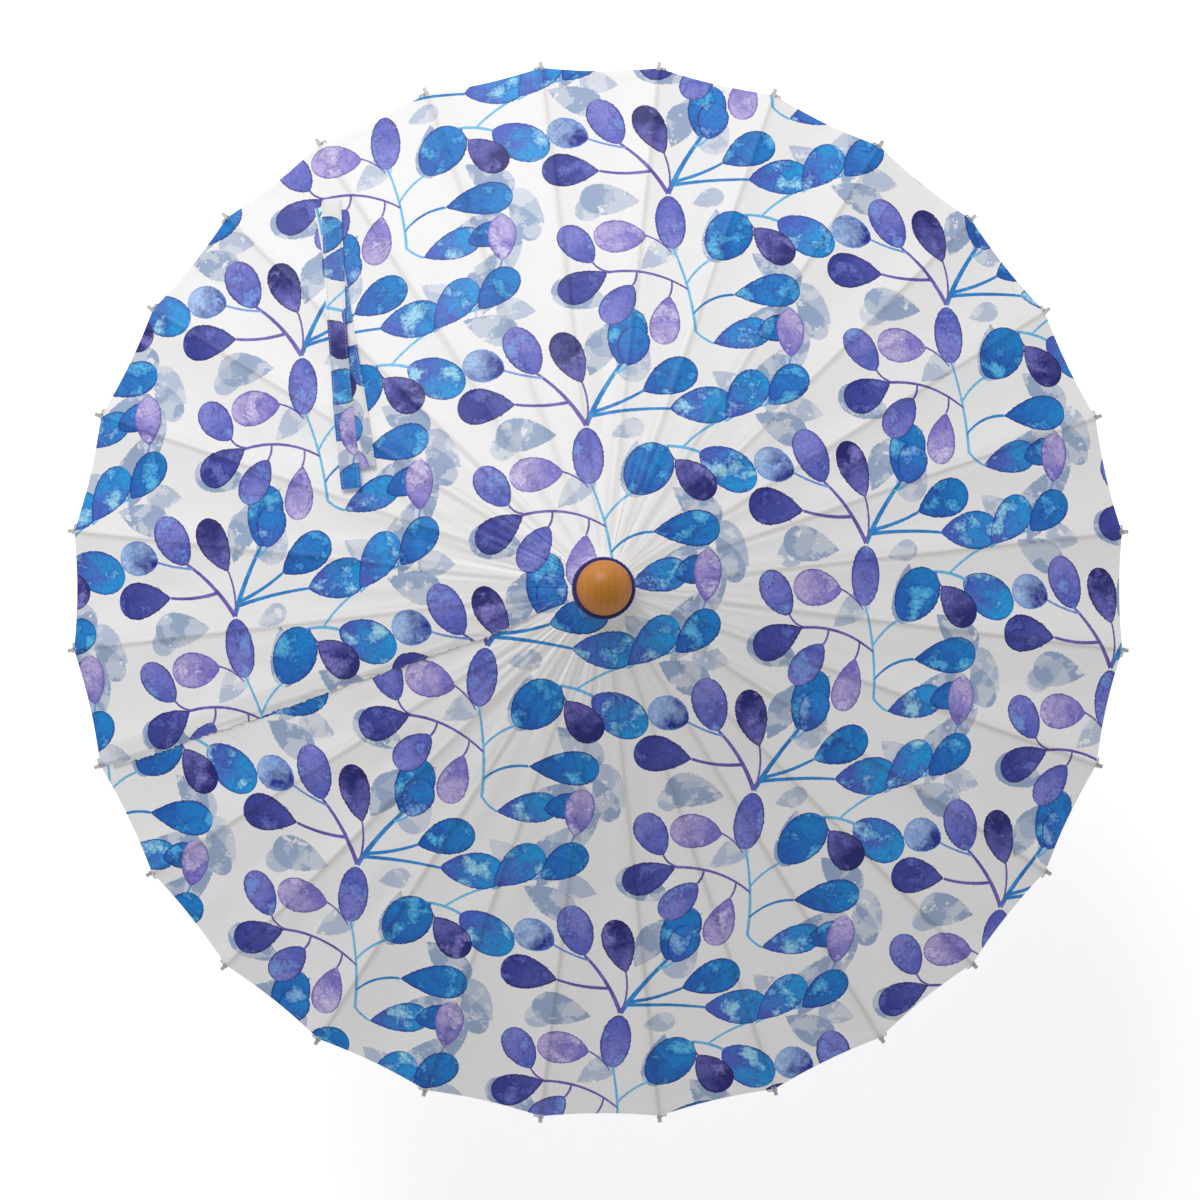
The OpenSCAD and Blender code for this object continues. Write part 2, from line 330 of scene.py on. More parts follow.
def leaf_group():
    ins = [("Under", COLOUR), ("U", FLOAT), ("V", FLOAT), ("Scale", FLOAT), ("Taper", FLOAT),
           ("Stalk", COLOUR), ("Tip", COLOUR), ("Patch", COLOUR), ("Line", COLOUR),
           ("Stain", FLOAT), ("Bloom", FLOAT), ("Grain", FLOAT), ("Wobble", FLOAT)]
    tree, g, i, leave = group("painted leaf", ins, [("Colour", COLOUR)])
    t = held(g, i["U"])
    d = leaf_outline(g, t, i["U"], i["V"], i["Scale"], i["Taper"], i["Wobble"])
    stain = g.math("MULTIPLY_ADD", i["Stain"], 2.6, -1.3)
    blend = g.math("ADD", g.math("MULTIPLY_ADD", t, 1.5, -0.25), stain, clamp=True)
    paint = g.mix(blend, i["Stalk"], i["Tip"])
    paint = g.mix(g.ramp(i["Bloom"], 0.53, 0.72, 0.0, 0.95), paint, i["Patch"])
    # pigment gathers where a wet patch dried, and along the leaf's edge
    rim = g.math("SUBTRACT", 1.0, g.math("ABSOLUTE", g.math("MULTIPLY_ADD", i["Bloom"], 34.0, -18.2)),
                 clamp=True)
    paint = g.mix(g.math("MULTIPLY", rim, 0.5), paint, i["Line"])
    paint = g.mix(g.ramp(d, 0.0, 4.0, 0.3, 0.0), paint, i["Line"])
    paint = g.mix(g.ramp(d, 0.4, 1.35, 0.95, 0.0), paint, i["Line"])
    shade = g.math("MULTIPLY_ADD", i["Grain"], 1.5, 0.18)
    paint = g.scaled(paint, shade)
    cover = g.ramp(d, -0.15, 0.2)
    g.put(leave["Colour"], g.mix(cover, i["Under"], paint))
    return tree


def stem_group():
    ins = [("Under", COLOUR), ("U", FLOAT), ("V", FLOAT), ("Arch", FLOAT), ("Start", FLOAT),
           ("Grow", FLOAT), ("Near", COLOUR), ("Far", COLOUR), ("Stain", FLOAT), ("Grain", FLOAT),
           ("Wobble", FLOAT)]
    tree, g, i, leave = group("painted stem", ins, [("Colour", COLOUR)])
    t = held(g, i["U"])
    arch = g.math("MULTIPLY", g.math("MULTIPLY", t, g.math("SUBTRACT", 1.0, t)), i["Arch"])
    off = g.math("ABSOLUTE", g.math("SUBTRACT", i["V"], arch))
    half = g.math("MULTIPLY_ADD", t, i["Grow"], i["Start"])
    past = past_ends(g, i["U"])
    d = g.math("SUBTRACT", g.math("SUBTRACT", half, off), g.math("MULTIPLY", past, END_CUT))
    d = g.math("MULTIPLY_ADD", i["Wobble"], 0.4, d)
    paint = g.mix(g.math("MULTIPLY_ADD", i["Stain"], 2.6, -0.8, clamp=True), i["Near"], i["Far"])
    shade = g.math("MULTIPLY_ADD", i["Grain"], 0.9, 0.55)
    paint = g.scaled(paint, shade)
    g.put(leave["Colour"], g.mix(g.ramp(d, -0.12, 0.22), i["Under"], paint))
    return tree


def ghost_group():
    ins = [("Under", COLOUR), ("U", FLOAT), ("V", FLOAT), ("Scale", FLOAT), ("Tone", COLOUR),
           ("Stain", FLOAT), ("Bloom", FLOAT), ("Wobble", FLOAT)]
    tree, g, i, leave = group("faded leaf", ins, [("Colour", COLOUR)])
    t = held(g, i["U"])
    wobble = g.math("MULTIPLY", i["Wobble"], 1.6)
    d = leaf_outline(g, t, i["U"], i["V"], i["Scale"], GHOST_TAPER, wobble)
    strength = g.ramp(i["Bloom"], 0.50, 0.53, 1.0, 0.55)
    strength = g.math("MULTIPLY", strength, g.ramp(i["Stain"], 0.62, 0.64, 1.0, 0.15))
    cover = g.math("MULTIPLY", g.ramp(d, -0.2, 0.35), strength)
    g.put(leave["Colour"], g.mix(cover, i["Under"], i["Tone"]))
    return tree


def print_group():
    """The whole print: a group that turns a place on the flat cloth, in metres, into a colour."""
    leaf_tree, stem_tree, ghost_tree = leaf_group(), stem_group(), ghost_group()
    tree, g, i, leave = group("leaf print", [("Place", "NodeSocketVector"), ("Cloth", COLOUR)],
                              [("Colour", COLOUR), ("Weave", FLOAT)])
    place = g.vec("MULTIPLY_ADD", i["Place"], (1000.0, 1000.0, 0.0), (*PRINT_SHIFT, 0.0))
    det = CELL_A[0] * CELL_B[1] - CELL_A[1] * CELL_B[0]
    a = g.vec("DOT_PRODUCT", place, (CELL_B[1] / det, -CELL_B[0] / det, 0), out="Value")
    b = g.vec("DOT_PRODUCT", place, (-CELL_A[1] / det, CELL_A[0] / det, 0), out="Value")
    cell = g.add("ShaderNodeCombineXYZ", {0: a, 1: b})
    stain = g.noise(place, 0.075, 4.0, 0.62)
    grain = g.noise(place, 0.4, 5.0, 0.66)
    wobble = g.math("MULTIPLY_ADD", g.noise(place, 0.42, 3.0, 0.6), 2.2, -1.1)
    bloom = g.noise(g.vec("ADD", place, (311.0, 57.0, 0.0)), 0.055, 2.0, 0.45)
    bloom = g.math("MULTIPLY_ADD", wobble, 0.03, bloom)
    bloom = g.math("ADD", bloom, g.math("MULTIPLY_ADD", grain, 0.3, -0.15))

    def frame_of(x, y, angle, length):
        """U from 0 to 1 along a stroke and V across it, for the nearest repeat."""
        s, c = math.sin(math.radians(angle)), math.cos(math.radians(angle))
        mx, my = x + length / 2 * c, y + length / 2 * s
        ca = (CELL_B[1] * mx - CELL_B[0] * my) / det
        cb = (-CELL_A[1] * mx + CELL_A[0] * my) / det
        d = g.vec("SUBTRACT", cell, (ca, cb, 0.0))
        d = g.vec("WRAP", d, (0.5, 0.5, 0.5), (-0.5, -0.5, -0.5))
        along = [(m[0] * c + m[1] * s) / length for m in (CELL_A, CELL_B)]
        across = [-m[0] * s + m[1] * c for m in (CELL_A, CELL_B)]
        u = g.math("ADD", g.vec("DOT_PRODUCT", d, (*along, 0.0), out="Value"), 0.5)
        v = g.vec("DOT_PRODUCT", d, (*across, 0.0), out="Value")
        return u, v

    def stroke(kind, colour, u, v, **ins):
        n = tree.nodes.new("ShaderNodeGroup")
        n.node_tree = kind
        g.put(n.inputs["Under"], colour)
        g.put(n.inputs["U"], u)
        g.put(n.inputs["V"], v)
        for key, value in ins.items():
            g.put(n.inputs[key], value)
        return n.outputs[0]

    colour = i["Cloth"]
    for x, y, angle, length, width, tone in GHOSTS:
        u, v = frame_of(x, y, angle, length)
        colour = stroke(ghost_tree, colour, u, v, Scale=outline_scale(width, GHOST_TAPER),
                        Tone=linear(GHOST_TONES[tone]), Stain=stain, Bloom=bloom, Wobble=wobble)
    for x, y, angle, length, bend, start, end, name in STEMS:
        u, v = frame_of(x, y, angle, length)
        near, far = (linear(c) for c in STEM[name])
        colour = stroke(stem_tree, colour, u, v, Arch=4.0 * bend, Start=start, Grow=end - start,
                        Near=near, Far=far, Stain=stain, Grain=grain, Wobble=wobble)
    for x, y, angle, length, width, name, taper in LEAVES:
        u, v = frame_of(x, y, angle, length)
        stalk, tip, patch, line = (linear(c) for c in PAINT[name])
        colour = stroke(leaf_tree, colour, u, v, Scale=outline_scale(width, taper), Taper=taper,
                        Stalk=stalk, Tip=tip, Patch=patch,
                        Line=line, Stain=stain, Bloom=bloom, Grain=grain, Wobble=wobble)
    # plain weave: threads that cross over and under each other
    turn = 2 * math.pi / THREAD_PITCH
    x, y = (g.math("SINE", g.vec("DOT_PRODUCT", place, w, out="Value"))
            for w in ((turn, 0.0, 0.0), (0.0, turn, 0.0)))
    slub = g.noise(g.vec("MULTIPLY", place, (0.12, 3.0, 0.0)), 1.0, 2.0, 0.5)
    weave = g.math("MULTIPLY_ADD", g.math("MULTIPLY", x, y), 0.35, slub)
    # partly painted shade, where threads dip under the crossing ones; partly the slub tone of thicker
    # threads
    weave_shade_and_slub = g.ramp(weave, 0.1, 0.9, 0.955, 1.03, smooth=False)
    colour = g.scaled(colour, weave_shade_and_slub)
    g.put(leave["Colour"], colour)
    g.put(leave["Weave"], weave)
    return tree


def cloth_material(name, tree, through, base):
    m, g, shader = material(name, 0.56)
    shader.inputs["Sheen Weight"].default_value = 0.08
    shader.inputs["Specular IOR Level"].default_value = 0.5
    place = g.add("ShaderNodeUVMap", uv_map="print")
    n = m.node_tree.nodes.new("ShaderNodeGroup")
    n.node_tree = tree
    g.put(n.inputs["Place"], place)
    g.put(n.inputs["Cloth"], linear(base))
    colour, weave = n.outputs
    crumple = g.noise(g.vec("MULTIPLY", place, (1000.0, 1000.0, 0.0)), 0.035, 4.0, 0.55)
    height = g.math("MULTIPLY_ADD", crumple, 14.0, g.math("MULTIPLY", weave, 0.22))
    bump = g.add("ShaderNodeBump", {"Strength": 0.5, "Distance": 0.0001, "Height": height})
    g.put(shader.inputs["Base Color"], colour)
    g.put(shader.inputs["Normal"], bump)
    back = g.add("ShaderNodeBsdfTranslucent", {"Color": colour, "Normal": bump})
    both = g.add("ShaderNodeMixShader", {0: through, 1: shader.outputs[0], 2: back})
    g.put(m.node_tree.nodes["Material Output"].inputs["Surface"], both)
    return m


PRINT = print_group()
CLOTH = cloth_material("printed cloth", PRINT, 0.14, (238, 237, 237))


# ---------------------------------------------------------------- wood and bamboo
def millimetres(g):
    """Object coordinates in millimetres, as a vector and as x, y and z."""
    place = g.scaled(g.add("ShaderNodeTexCoord", out=3), 1000.0)
    xyz = g.tree.nodes.new("ShaderNodeSeparateXYZ")
    g.put(xyz.inputs[0], place)
    return place, xyz.outputs


BAMBOO_JOINT = 96.0  # from one joint of the bamboo to the next
TIP_FADE = (404.0, 407.0)  # where a rib's weathered grey tip begins


def bamboo_material(name, pale, dark, tip):
    m, g, shader = material(name, 0.55)
    x, y, z = millimetres(g)[1]
    flat = g.math("SQRT", g.math("ADD", g.math("MULTIPLY", x, x), g.math("MULTIPLY", y, y)))
    turn = g.math("DIVIDE", g.math("ARCTAN2", y, x), STEP)
    # every rib and stretcher has its own tone and its own stretch of grain
    own = g.add("ShaderNodeTexWhiteNoise", {"W": g.math("FLOOR", turn)}, noise_dimensions="1D")
    across = g.math("MULTIPLY", g.math("MULTIPLY", g.math("FRACT", turn), STEP), flat)
    slide = g.math("MULTIPLY_ADD", own, 300.0, flat)
    grain_at = g.add("ShaderNodeCombineXYZ", {0: g.math("MULTIPLY", slide, 0.03),
                                              1: g.math("MULTIPLY", across, 2.2),
                                              2: g.math("MULTIPLY", z, 0.6)})
    grain = g.noise(grain_at, 1.0, 5.0, 0.65)
    ring = g.math("FRACT", g.math("DIVIDE", slide, BAMBOO_JOINT))
    ring = g.math("ABSOLUTE", g.math("SUBTRACT", ring, 0.5))
    ring = g.ramp(ring, 0.0, 0.022, 1.0, 0.0)
    colour = g.mix(g.ramp(grain, 0.3, 0.72), linear(pale), linear(dark))
    colour = g.mix(g.math("MULTIPLY", ring, 0.55), colour, linear([c * 0.55 for c in dark]))
    colour = g.mix(g.ramp(flat, *TIP_FADE), colour, linear(tip))
    tone = g.scaled(colour, g.math("MULTIPLY_ADD", own, 0.28, 0.86))
    g.put(shader.inputs["Base Color"], tone)
    g.put(shader.inputs["Roughness"], g.ramp(grain, 0.2, 0.8, 0.42, 0.68))
    height = g.math("ADD", grain, g.math("MULTIPLY", ring, 0.8))
    g.put(shader.inputs["Normal"],
          g.add("ShaderNodeBump", {"Strength": 0.5, "Distance": 0.0003, "Height": height}))
    return m


def wood_material(name, pale, dark, roughness, coat, streak):
    m, g, shader = material(name, roughness)
    shader.inputs["Coat Weight"].default_value = coat
    shader.inputs["Coat Roughness"].default_value = 0.25
    place, (x, *_) = millimetres(g)
    grain_at = g.vec("MULTIPLY", place, (1.0, 1.0, 0.05))
    bend = g.noise(g.vec("MULTIPLY", place, (0.05, 0.05, 0.012)), 1.0, 2.0, 0.5)
    rings = g.math("SINE", g.math("MULTIPLY_ADD", bend, 9.0, g.math("MULTIPLY", x, 1.3)))
    fibre = g.noise(grain_at, 1.4, 6.0, 0.7)
    mixed = g.math("MULTIPLY_ADD", rings, streak * 0.5, fibre)
    colour = g.mix(g.ramp(mixed, 0.3, 0.75), linear(pale), linear(dark))
    pores = g.noise(g.vec("MULTIPLY", place, (2.6, 2.6, 0.12)), 1.0, 2.0, 0.5)
    colour = g.mix(g.ramp(pores, 0.62, 0.7, 0.0, 0.4), colour, linear([c * 0.5 for c in dark]))
    g.put(shader.inputs["Base Color"], colour)
    g.put(shader.inputs["Normal"],
          g.add("ShaderNodeBump", {"Strength": 0.35, "Distance": 0.0002, "Height": mixed}))
    return m


def plain_material(name, colour, roughness, metallic=0.0, fuzz=0.0):
    m, g, shader = material(name, roughness, metallic)
    place = g.add("ShaderNodeTexCoord", out=3)
    n = g.noise(place, 900.0, 3.0, 0.6)
    tone = g.mix(n, linear([c * 0.72 for c in colour]), linear(colour))
    g.put(shader.inputs["Base Color"], tone)
    shader.inputs["Sheen Weight"].default_value = fuzz
    g.put(shader.inputs["Normal"],
          g.add("ShaderNodeBump", {"Strength": 0.4, "Distance": 0.0001, "Height": n}))
    return m


BAMBOO = bamboo_material("split bamboo", (214, 186, 138), (176, 138, 88), (190, 189, 186))
WOOD = wood_material("turned wood", (194, 126, 30), (164, 92, 14), 0.5, 0.05, 0.06)
STICK = wood_material("stick wood", (200, 150, 96), (152, 100, 52), 0.5, 0.12, 0.3)
THREAD = plain_material("cotton thread", (226, 224, 218), 0.9, fuzz=0.3)
COLLAR = plain_material("navy binding", (44, 36, 128), 0.85, fuzz=0.2)
STEEL = plain_material("spring steel", (150, 150, 152), 0.32, 1.0)
# near-black brown for the catch's slot: painted shade inside the slot
SLOT_SHADE = plain_material("painted slot shade", (52, 34, 20), 0.9)


# ---------------------------------------------------------------- the cloth's shape
SAG = 3.4  # how far the cloth's edge sags midway between two ribs
RIM_PULL = 0.0045  # share of its radius by which the rim draws in there
PLEAT_H, CREASE_H, SWELL_H = 0.95, 0.55, 0.9  # folds at the crown, fine creases, broad waves
DIP = 0.20  # depth of the groove beside a rib
HEM_H, HEM_W = 0.24, 8
LIMP_SIDE = math.radians(222)  # where the cloth is most creased


def round_noise(around, out, reach, seed):
    """Smooth noise of -1 to 1 over angle and radius, with that many swings round the axis."""
    r = np.random.default_rng(seed)
    table = r.uniform(-1, 1, (around, out + 2))

    def value(angle, radius):
        a = np.mod(angle / (2 * np.pi), 1.0) * around
        b = np.clip(radius / reach, 0, 0.9999) * out
        ia, ib = np.floor(a).astype(int), np.floor(b).astype(int)
        fa, fb = a - ia, b - ib
        fa, fb = fa * fa * (3 - 2 * fa), fb * fb * (3 - 2 * fb)
        low = table[ia % around, ib] * (1 - fa) + table[(ia + 1) % around, ib] * fa
        high = table[ia % around, ib + 1] * (1 - fa) + table[(ia + 1) % around, ib + 1] * fa
        return low * (1 - fb) + high * fb

    return value


PLEATS = round_noise(RIBS * 7, 5, 430, 11)
CREASES = round_noise(RIBS * 4, 9, 430, 12)
SWELLS = round_noise(RIBS * 2, 5, 430, 13)
# how the cloth climbs over the crown's shoulder: radius, height above the crown hinges
CENTRE = np.array([[15.8, 7.3], [18.5, 7.3], [21.0, 7.15], [22.4, 6.5], [24.5, 4.4], [27.5, 2.1],
                   [31.0, 0.25]])
CLOTH_LIFT = 0.5


def spine_height(r):
    """Height of the cloth over a rib."""
    out = rib_line_z(r) + CLOTH_LIFT
    near = HINGE_Z + np.interp(r, CENTRE[:, 0], CENTRE[:, 1])
    share = np.clip((r - 28.0) / 6.0, 0, 1)
    return np.where(r < 34.0, np.maximum(near * (1 - share) + out * share, out), out)


def cloth_point(k, side, r, y):
    """A point of the cloth: on the strip of rib k, y along the straight line to the next rib."""
    a, b = rib_angle(k), rib_angle(k + side)
    chord = 2 * r * math.sin(STEP / 2)
    t = y / chord
    x0 = r * (math.cos(a) + (math.cos(b) - math.cos(a)) * t)
    y0 = r * (math.sin(a) + (math.sin(b) - math.sin(a)) * t)
    swing = np.sin(np.pi * np.clip(t, 0, 1))
    grow = np.clip((r - 30) / (CLOTH_R - 30), 0, 1)
    sag = SAG * grow ** 1.1 * swing ** 0.8
    dip = DIP * np.clip(grow * 6, 0, 1) * np.exp(-((y - 3.6) / 1.5) ** 2)
    angle, radius = np.arctan2(y0, x0), np.hypot(x0, y0)
    low = 1 + 1.3 * np.maximum(0, np.cos(angle - LIMP_SIDE))
    centre = np.exp(-np.maximum(r - 22, 0) / (40.0 + 18 * low))
    folds = PLEAT_H * centre * PLEATS(angle, radius) * low
    folds += CREASE_H * np.clip(r / 120, 0, 1) * CREASES(angle, radius) * low
    folds += SWELL_H * np.clip(r / 120, 0, 1) * SWELLS(angle, radius)
    free = swing ** 0.7 * np.clip((r - 15) / 25, 0, 1) * np.clip((y - 1.75) / 3.5, 0, 1)
    ruffle = 0.35 * centre * (1 + PLEATS(angle, radius)) * np.clip((40 - r) / 12, 0, 1)
    hem = HEM_H * (1 - np.clip((CLOTH_R - HEM_W - r) / 0.9, 0, 1))
    z = spine_height(r) - sag - dip + folds * free * 0.8 + ruffle + hem
    return np.stack([x0, y0, z], -1) * MM


def print_place(points, branch=None):
    """Where points of the cone lie on the flat cloth, cut open along the seam, in metres.

    On the strip at the seam, branch says whether they lie before the cut or after it.
    """
    angle = np.arctan2(points[:, 1], points[:, 0])
    seam = rib_angle(SEAM_RIB)
    turn = np.mod(angle - seam, 2 * np.pi)
    if branch == "before":
        turn = np.where(turn < 0.5, turn + 2 * np.pi, turn)
    if branch == "after":
        turn = np.where(turn > 5.5, turn - 2 * np.pi, turn)
    turn = (turn - np.pi) * math.cos(DROOP) + seam + np.pi
    slant = np.hypot(points[:, 0], points[:, 1]) / math.cos(DROOP)
    return np.stack([slant * np.cos(turn), slant * np.sin(turn)], -1)


def placed(mesh, mat, normals=None):
    """A smooth object of this mesh, named after it."""
    mesh.polygons.foreach_set("use_smooth", np.ones(len(mesh.polygons), bool))
    mesh.materials.append(mat)
    mesh.update()
    if normals is not None:
        mesh.normals_split_custom_set_from_vertices(normals.tolist())
    obj = bpy.data.objects.new(mesh.name, mesh)
    scene.collection.objects.link(obj)
    return obj


def grid_quads(rows, cols, start=0):
    at = np.arange(rows * cols).reshape(rows, cols) + start
    return np.stack([at[:-1, :-1], at[1:, :-1], at[1:, 1:], at[:-1, 1:]], -1).reshape(-1, 4)


def cloth_piece(name, points, quads, places, normals):
    """A piece of cloth with its place on the print in a UV layer."""
    mesh = bpy.data.meshes.new(name)
    mesh.from_pydata(points.tolist(), [], quads.tolist())
    layer = mesh.uv_layers.new(name="print")
    index = np.empty(len(mesh.loops), np.int32)
    mesh.loops.foreach_get("vertex_index", index)
    layer.data.foreach_set("uv", places[index].astype(np.float32).ravel())
    return placed(mesh, CLOTH, normals)


def grid_piece(name, grid, places):
    """A piece of cloth over a grid of points, rows by columns by 3."""
    return cloth_piece(name, grid.reshape(-1, 3), grid_quads(*grid.shape[:2]), places,
                       grid_normals(grid).reshape(-1, 3))


def grid_normals(grid):
    """Unit normals of a grid of points, rows by columns by 3."""
    n = np.cross(np.gradient(grid, axis=0), np.gradient(grid, axis=1))
    n /= np.maximum(np.linalg.norm(n, axis=2, keepdims=True), 1e-12)
    return n * np.sign(n[..., 2:3] + 1e-9)


def narrow(obj):
    """Gives the piece its own copy of its mesh."""
    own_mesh(obj)


SPREAD = np.array([0, 0.03, 0.065, 0.11, 0.17, 0.25, 0.34, 0.45, 0.57, 0.70, 0.85, 1.0])
INNER = np.linspace(15.8, 36, 34)
OUTER = np.concatenate([np.linspace(36, CLOTH_R - 11, 92)[1:],
                        CLOTH_R - np.array([9.2, 8.6, 8.0, 7.2, 5.0, 2.5, 0.8, 0.0])])
REACH = np.concatenate([INNER, OUTER])
SPINE = np.array([0.0, 0.5, 1.0])


def strip_columns(k):
    """The strip's columns across rib k, from one side to the other: kind and points."""
    sides = []
    for side in (-1, 1):
        columns = []
        for kind, part in (("fold", SPINE), ("gore", SPREAD), ("next", np.array([1.06]))):
            for s in part:
                chord = 2 * REACH * math.sin(STEP / 2)
                edge = np.minimum(1.6, 0.28 * chord)
                y = edge * s if kind == "fold" else edge + (chord / 2 - edge) * s
                # the rim draws in between the ribs, so each column ends a little short of it
                pull = 1 - RIM_PULL * np.sin(np.pi * y / chord) * ((REACH - 36) / 369).clip(0, 1) ** 2
                columns.append((kind, cloth_point(k, side, REACH * pull, y * pull)))
        sides.append(columns)
    left, right = sides
    return left[::-1][:-1] + right  # both sides share the middle column


def canopy_strip(k):
    """The cloth on rib k: both its halves as one piece, and the narrow fold over the rib."""
    line = strip_columns(k)
    middle = len(line) // 2
    grid = np.stack([points for _, points in line], 1)
    normals = grid_normals(grid)
    lo = [i for i, (kind, _) in enumerate(line) if kind == "gore" and i < middle]
    hi = [i for i, (kind, _) in enumerate(line) if kind == "gore" and i > middle]
    mid = list(range(lo[-1], hi[0] + 1))
    before, after = ("before", "after") if k == SEAM_RIB else (None, None)
    halves = [(grid[:, ids].reshape(-1, 3), branch, normals[:, ids].reshape(-1, 3))
              for ids, branch in ((lo, before), (hi, after))]
    rows = len(REACH)
    gore = cloth_piece(f"cloth_{k + 1:02d}", np.concatenate([h[0] for h in halves]),
                       np.concatenate([grid_quads(rows, len(lo)),
                                       grid_quads(rows, len(hi), rows * len(lo))]),
                       np.concatenate([print_place(h[0], h[1]) for h in halves]),
                       np.concatenate([h[2] for h in halves]))
    over = grid[:, mid].reshape(-1, 3)
    fold = cloth_piece(f"cloth_fold_{k + 1:02d}", over, grid_quads(rows, len(mid)),
                       print_place(over, before), normals[:, mid].reshape(-1, 3))
    for o in (gore, fold):
        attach(o, rib_body(k))
        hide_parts("canopy")
    narrow(gore)


for k in range(RIBS):
    canopy_strip(k)


# ---------------------------------------------------------------- pieces on the cloth
def cloth_height(x, y):
    """Height of the cloth at places in plan, in millimetres."""
    x, y = np.atleast_1d(x), np.atleast_1d(y)
    reach, angle = np.hypot(x, y), np.arctan2(y, x)
    turn = np.mod(angle - FIRST, 2 * np.pi) / STEP
    k = np.floor(turn + 0.5).astype(int)
    off = (turn - k) * STEP
    out = np.empty(len(x))
    for n in range(len(x)):
        side = 1 if off[n] >= 0 else -1
        lean = abs(off[n])
        r = reach[n] * math.cos(STEP / 2 - lean) / math.cos(STEP / 2)
        along = r * math.sin(STEP / 2) - reach[n] * math.sin(STEP / 2 - lean)
        point = cloth_point(int(k[n]), side, np.array([r]), np.array([max(along, 0.0)]))
        out[n] = point[0, 2] / MM
    return out


def on_cloth(xy, lift):
    """Points of the plan laid on the cloth, lifted by so much, in metres."""
    flat = xy.reshape(-1, 2)
    z = cloth_height(flat[:, 0], flat[:, 1]) + np.asarray(lift).reshape(-1)
    return (np.column_stack([flat, z]) * MM).reshape(*xy.shape[:-1], 3)


def tubes(name, lines, radii, mat, sides=6):
    """One mesh of round threads, each along its own line of points, in metres."""
    points, faces = [], []
    ring = np.linspace(0, 2 * np.pi, sides, endpoint=False)
    for line, radius in zip(lines, radii):
        line = np.asarray(line, float)
        way = np.gradient(line, axis=0)
        way /= np.maximum(np.linalg.norm(way, axis=1, keepdims=True), 1e-12)
        ref = np.array([0.13, 0.29, 0.95])
        a = np.cross(way, ref)
        a /= np.maximum(np.linalg.norm(a, axis=1, keepdims=True), 1e-12)
        b = np.cross(way, a)
        start = len(points)
        for p, u, v in zip(line, a, b):
            points.extend(p + radius * (np.cos(t) * u + np.sin(t) * v) for t in ring)
        for i in range(len(line) - 1):
            for j in range(sides):
                q, w = start + i * sides, (j + 1) % sides
                faces.append((q + j, q + w, q + sides + w, q + sides + j))
        faces.append(tuple(start + j for j in range(sides))[::-1])
        faces.append(tuple(start + (len(line) - 1) * sides + j for j in range(sides)))
    mesh = bpy.data.meshes.new(name)
    mesh.from_pydata([tuple(p) for p in points], [], faces)
    return placed(mesh, mat)


def fold_with(obj, k):
    """The piece rides on rib k and gets its own copy of its mesh."""
    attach(obj, rib_body(k))
    narrow(obj)


def seam():
    """One side's raw edge lies on the other along the seam, and its threads come loose."""
    a = rib_angle(SEAM_RIB)
    out_way, side_way = np.array([math.cos(a), math.sin(a)]), np.array([-math.sin(a), math.cos(a)])
    rows = np.linspace(44, 398, 170)
    edge_noise = round_noise(170, 2, 430, 31)
    ragged = 5.2 + 0.9 * edge_noise(rows / 354 * 2 * np.pi, rows * 0) + 0.35 * np.sin(rows * 1.9)
    cols = np.array([-13.0, -11, -8, -5, -2.5, -1.5, 0, 1.5, 2.6, 3.6, 4.4, 5.0])
    share = np.clip((rows - 30) / 60, 0.25, 1)[:, None]
    across = np.where(cols > 3, cols / 5.0 * ragged[:, None], cols) * share
    plan = rows[:, None, None] * out_way + across[..., None] * side_way
    wave = 0.35 * np.sin(rows * 0.21)[:, None] + 0.25 * np.sin(rows * 0.087 + 1)[:, None]
    curl = np.clip((across + 4) / 9, 0, 1) ** 2 * (0.55 + wave)
    rise = 0.42 + curl - np.clip((-across - 9) / 4, 0, 1) * 0.34
    flap_grid = on_cloth(plan, rise)
    flap = grid_piece("seam_flap", flap_grid, print_place(flap_grid.reshape(-1, 3), "before"))
    fold_with(flap, SEAM_RIB)
    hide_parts("canopy")
    threads, sizes = [], []
    for i in range(120):
        r0 = random.Random(i * 7 + 1).uniform(46, 396)
        pick = random.Random(i * 13 + 5)
        e = float(np.interp(r0, rows, ragged)) * float(np.clip((r0 - 30) / 60, 0.25, 1))
        length = pick.choice([2, 2.5, 3, 4, 5, 9, 16]) * pick.uniform(0.7, 1.2)
        heading = pick.uniform(-0.9, 0.9) + (1.2 if length > 8 else 0) * pick.choice([-1, 1])
        line = []
        for s in np.linspace(0, 1, 7):
            u = r0 + math.sin(heading) * length * s + 0.5 * math.sin(3 * s + i)
            v = e - 0.8 + math.cos(heading) * length * s * 0.8
            line.append(u * out_way + v * side_way)
        lift = 0.9 + 0.7 * np.sin(np.linspace(0, 1, 7) * 3) * pick.uniform(0, 1)
        threads.append(on_cloth(np.array(line), lift))
        sizes.append(pick.uniform(0.07, 0.13) * MM)
    frays = tubes("seam_threads", threads, sizes, THREAD, 4)
    fold_with(frays, SEAM_RIB)


seam()


